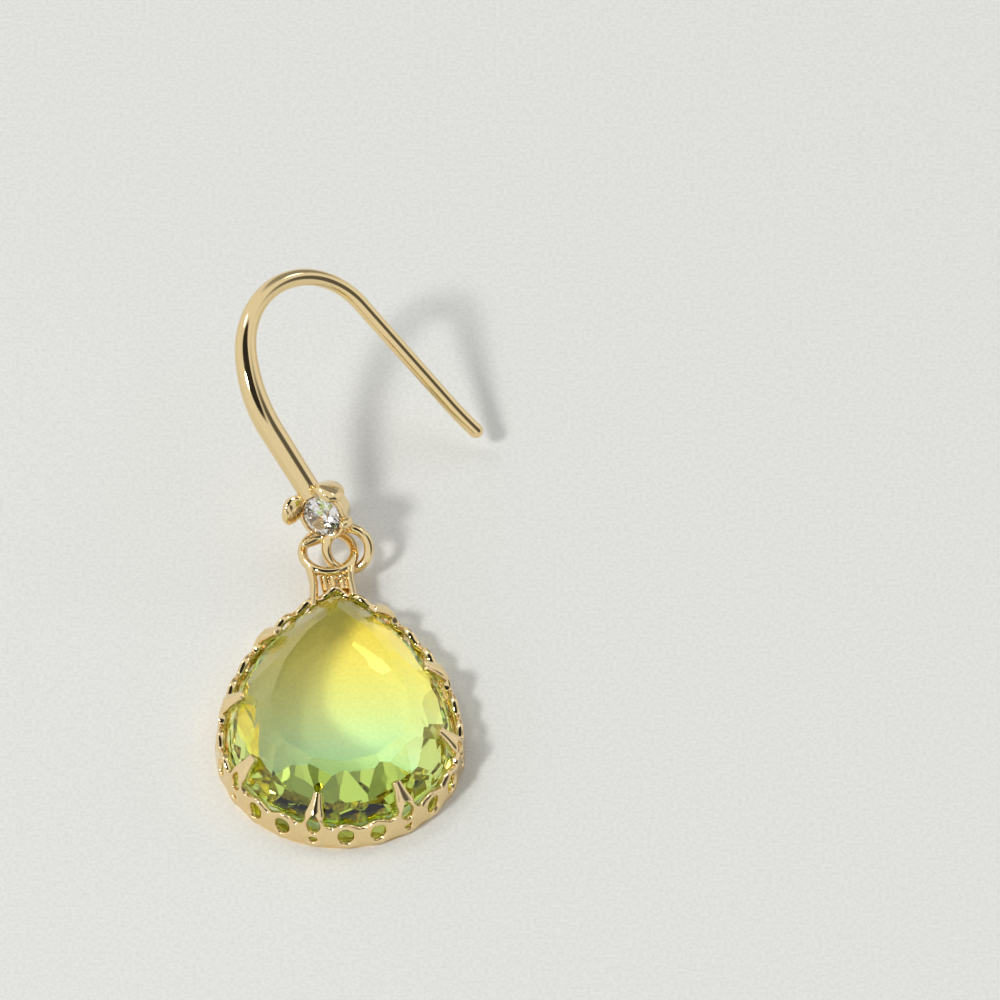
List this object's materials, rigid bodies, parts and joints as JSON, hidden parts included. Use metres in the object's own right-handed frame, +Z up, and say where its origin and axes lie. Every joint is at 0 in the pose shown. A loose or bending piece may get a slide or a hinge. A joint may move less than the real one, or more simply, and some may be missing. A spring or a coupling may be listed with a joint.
{
  "type": "drop earring",
  "caption": "Drop earring with a pear-cut stone in a pierced claw setting, linked by rings to a fish-hook ear wire with a small round stone, lying face up.",
  "frame": {"origin": "middle of the bounding box's base, on the surface that the earring lies on", "axes": "+Z up out of the pendant's face, +Y from the pendant's round end towards the ear wire, +X to the right as seen in the picture"},
  "size_m": [0.0142, 0.0324, 0.0107],
  "materials": {
    "gold_plate": "high-polish pale gold plate over silver",
    "clear_crystal": "faceted and polished colourless crystal",
    "green_crystal": "faceted and polished yellow-green crystal"
  },
  "bodies": {
    "root": {"ear_hook": "gold_plate", "hook_stone": "clear_crystal", "pendant_setting": "gold_plate", "pear_stone": "green_crystal"}
  },
  "joints": []
}
